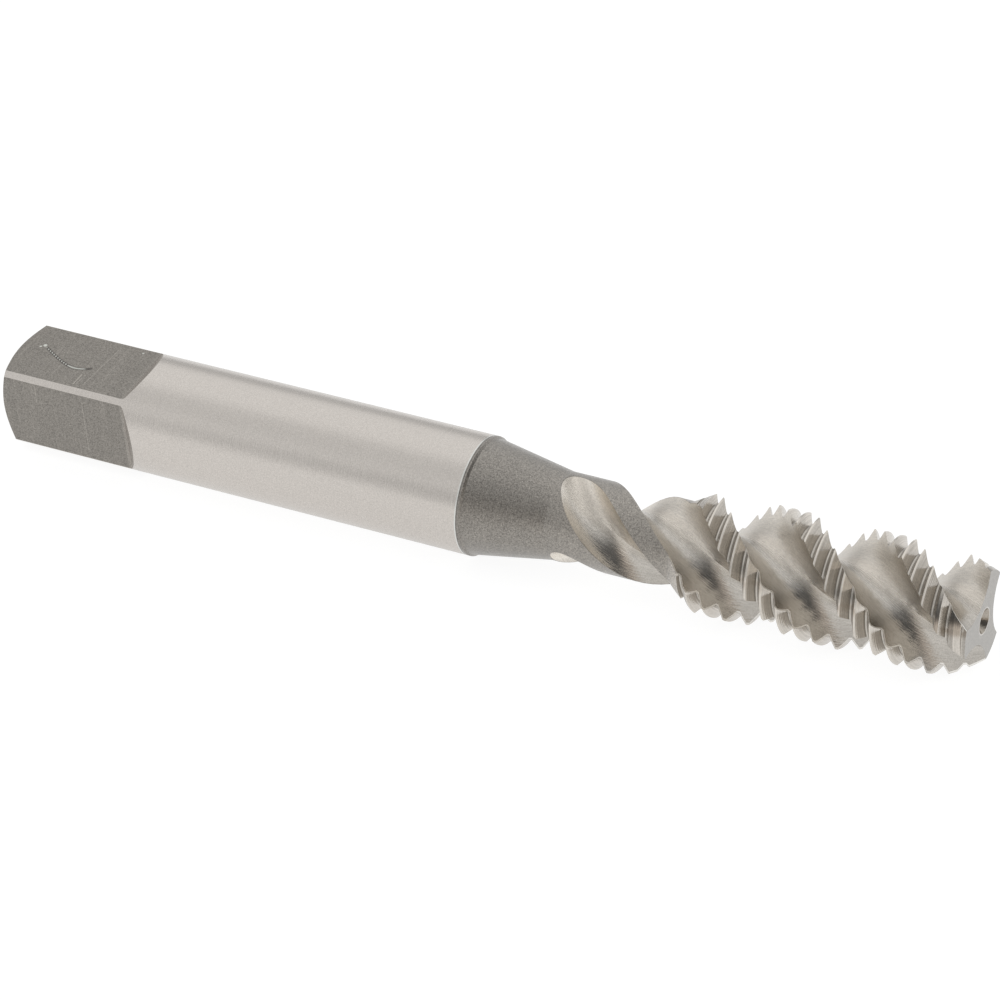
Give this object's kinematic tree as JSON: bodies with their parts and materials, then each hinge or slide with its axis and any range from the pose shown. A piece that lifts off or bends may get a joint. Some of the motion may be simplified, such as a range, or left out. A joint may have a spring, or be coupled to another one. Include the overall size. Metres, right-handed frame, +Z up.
{
  "type": "thread tap",
  "caption": "Spiral-flute machine tap for right-hand fine threads, with a plain ground shank, a tapered neck, a square drive end and a short lead at the cutting end.",
  "frame": {"origin": "under the middle of the tap's length, on the surface the shank lies on", "axes": "+X along the tap's axis towards its cutting end, +Z up; the shank's underside is at Z = 0 and the tap is rolled round its axis as in the picture"},
  "size_m": [0.0698, 0.008, 0.008],
  "materials": {
    "steel": "ground bright on shank, thread and flutes, matte grey on square and neck"
  },
  "bodies": {
    "root": {"tap": "steel"}
  },
  "joints": []
}
